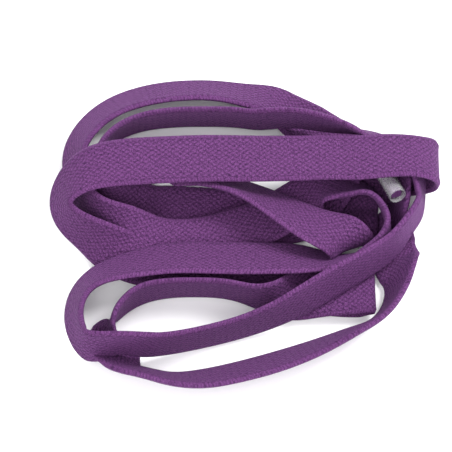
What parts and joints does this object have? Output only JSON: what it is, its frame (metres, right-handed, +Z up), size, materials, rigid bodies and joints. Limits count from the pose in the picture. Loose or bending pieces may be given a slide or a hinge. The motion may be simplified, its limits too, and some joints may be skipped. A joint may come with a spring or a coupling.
{
  "type": "ribbon lace",
  "caption": "Flat braided ribbon lace with clear film tips, lying loosely folded on itself in a low heap.",
  "frame": {"origin": "centre of the underside of the folded heap, on the surface it lies on", "axes": "+X along the long side of the heap, +Y across it, +Z up"},
  "size_m": [0.0816, 0.072, 0.0153],
  "materials": {
    "lace": "matt woven",
    "aglet_visible_end": "clear film",
    "aglet_hidden_end": "clear film"
  },
  "bodies": {
    "root": {"lace": "lace", "aglet_visible_end": "aglet_visible_end", "aglet_hidden_end": "aglet_hidden_end"}
  },
  "joints": []
}
